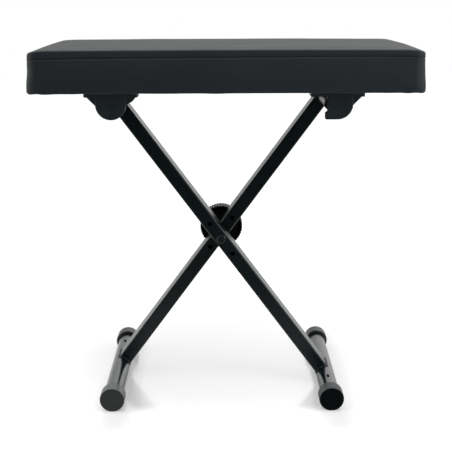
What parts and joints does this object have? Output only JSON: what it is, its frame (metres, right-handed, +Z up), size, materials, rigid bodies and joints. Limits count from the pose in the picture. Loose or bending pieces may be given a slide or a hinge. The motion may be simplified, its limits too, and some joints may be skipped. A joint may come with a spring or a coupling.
{
  "type": "keyboard bench",
  "caption": "Black folding keyboard bench: padded rectangular vinyl seat on a scissor frame of crossed leg tubes with round feet, rubber caps and a ribbed release knob at the pivot.",
  "frame": {"origin": "on the floor, below the middle of the seat", "axes": "+X along the seat to the sitter's right, +Y to the rear, +Z up"},
  "size_m": [0.6, 0.3, 0.5769],
  "materials": {
    "vinyl": "black grained vinyl, soft sheen",
    "foam": "cut foam",
    "plywood": "bare plywood",
    "cloth": "black nonwoven cloth",
    "bracket_nylon": "moulded black nylon",
    "black_screws": "black oxide",
    "zinc_steel": "zinc plated",
    "black_nylon": "turned black nylon",
    "spring_steel": "oiled spring steel",
    "powder_coat": "black semi-gloss powder coat",
    "rubber": "matt black rubber",
    "black_bolt": "glossy black",
    "die_cast": "black coated die casting",
    "knob_plastic": "moulded black plastic"
  },
  "bodies": {
    "front_frame": {"front_leg": "powder_coat", "front_leg_sleeve": "powder_coat", "right_foot_tube": "powder_coat", "right_foot_front_cap": "rubber", "right_foot_rear_cap": "rubber", "pivot_bolt": "black_bolt", "pivot_crush_sleeve": "zinc_steel", "thrust_washer": "black_nylon", "clutch_spring": "spring_steel", "spring_washer": "zinc_steel", "pivot_nut": "zinc_steel"},
    "rear_frame": {"rear_leg": "powder_coat", "rear_leg_sleeve": "powder_coat", "left_foot_tube": "powder_coat", "left_foot_front_cap": "rubber", "left_foot_rear_cap": "rubber", "pivot_bush": "black_nylon", "clutch_plate": "die_cast", "clutch_plate_screws": "black_screws"},
    "seat": {"seat_cover": "vinyl", "seat_foam": "foam", "seat_board": "plywood", "underside_cloth": "cloth", "hinge_bracket_front": "bracket_nylon", "hinge_bracket_rear": "bracket_nylon", "hook_bracket_front": "bracket_nylon", "hook_bracket_rear": "bracket_nylon", "hinge_bracket_screws": "black_screws", "hook_bracket_screws": "black_screws"},
    "knob": {"clutch_knob": "knob_plastic", "knob_lid": "knob_plastic"}
  },
  "joints": [
    {"name": "leg_fold", "type": "hinge", "parent": "front_frame", "child": "rear_frame", "pos_m": [-0.0086, 0, 0.25986], "axis": [0, -1, 0], "range_deg": [0, 63]},
    {"name": "seat_level", "type": "hinge", "parent": "front_frame", "child": "seat", "pos_m": [-0.17867, 0, 0.49055], "axis": [0, -1, 0], "range_deg": [0, 31.5]},
    {"name": "knob_pull", "type": "slide", "parent": "front_frame", "child": "knob", "axis": [0, 1, 0], "range_m": [0, 0.0035], "stiffness_N_per_m": 2500, "deforming": ["clutch_spring"]}
  ],
  "couplings": [
    {"joint": "seat_level", "follows": "leg_fold", "ratio": 0.5}
  ]
}
